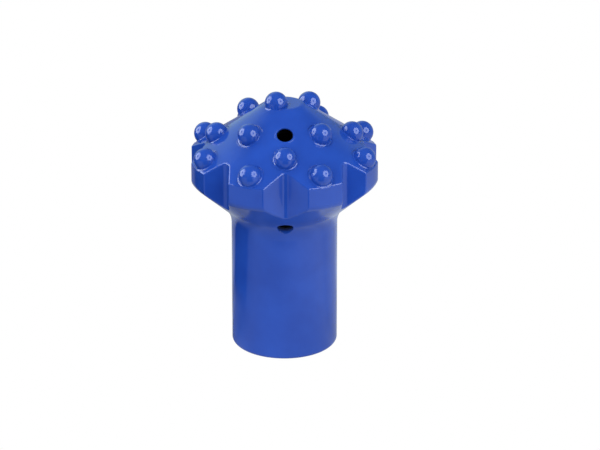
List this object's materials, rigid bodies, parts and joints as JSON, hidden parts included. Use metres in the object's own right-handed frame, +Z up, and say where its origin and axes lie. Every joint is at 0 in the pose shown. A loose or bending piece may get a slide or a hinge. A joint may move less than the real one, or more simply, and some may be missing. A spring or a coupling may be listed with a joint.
{
  "type": "reamer bit",
  "caption": "Domed rock-drilling reamer bit: a studded conical head with notched gauge wings, flushing holes and a long skirt threaded inside for a drill rod; it widens a drilled hole.",
  "frame": {"origin": "centre of the skirt's lower face, on the drilling axis, which is the surface that the bit stands on", "axes": "+Z up along the drilling axis, from the skirt to the domed head; -Z is the way the drill rod leaves the threaded socket; -Y is the front, through the flushing hole in the face; +X completes a right-handed frame"},
  "size_m": [0.0978, 0.0978, 0.1422],
  "materials": {
    "body_paint": "gloss blue enamel over forged steel",
    "button_paint": "gloss blue enamel over carbide",
    "bare_steel": "turned steel, unpainted and oiled, in the threaded socket"
  },
  "bodies": {
    "root": {"bit_body": "body_paint", "gauge_button_1": "button_paint", "gauge_button_2": "button_paint", "gauge_button_3": "button_paint", "gauge_button_4": "button_paint", "gauge_button_5": "button_paint", "gauge_button_6": "button_paint", "gauge_button_7": "button_paint", "gauge_button_8": "button_paint", "outer_face_button_1": "button_paint", "outer_face_button_2": "button_paint", "outer_face_button_3": "button_paint", "outer_face_button_4": "button_paint", "inner_face_button_1": "button_paint", "inner_face_button_2": "button_paint", "inner_face_button_3": "button_paint", "shoulder_button": "button_paint", "crown_button": "button_paint"}
  },
  "joints": []
}
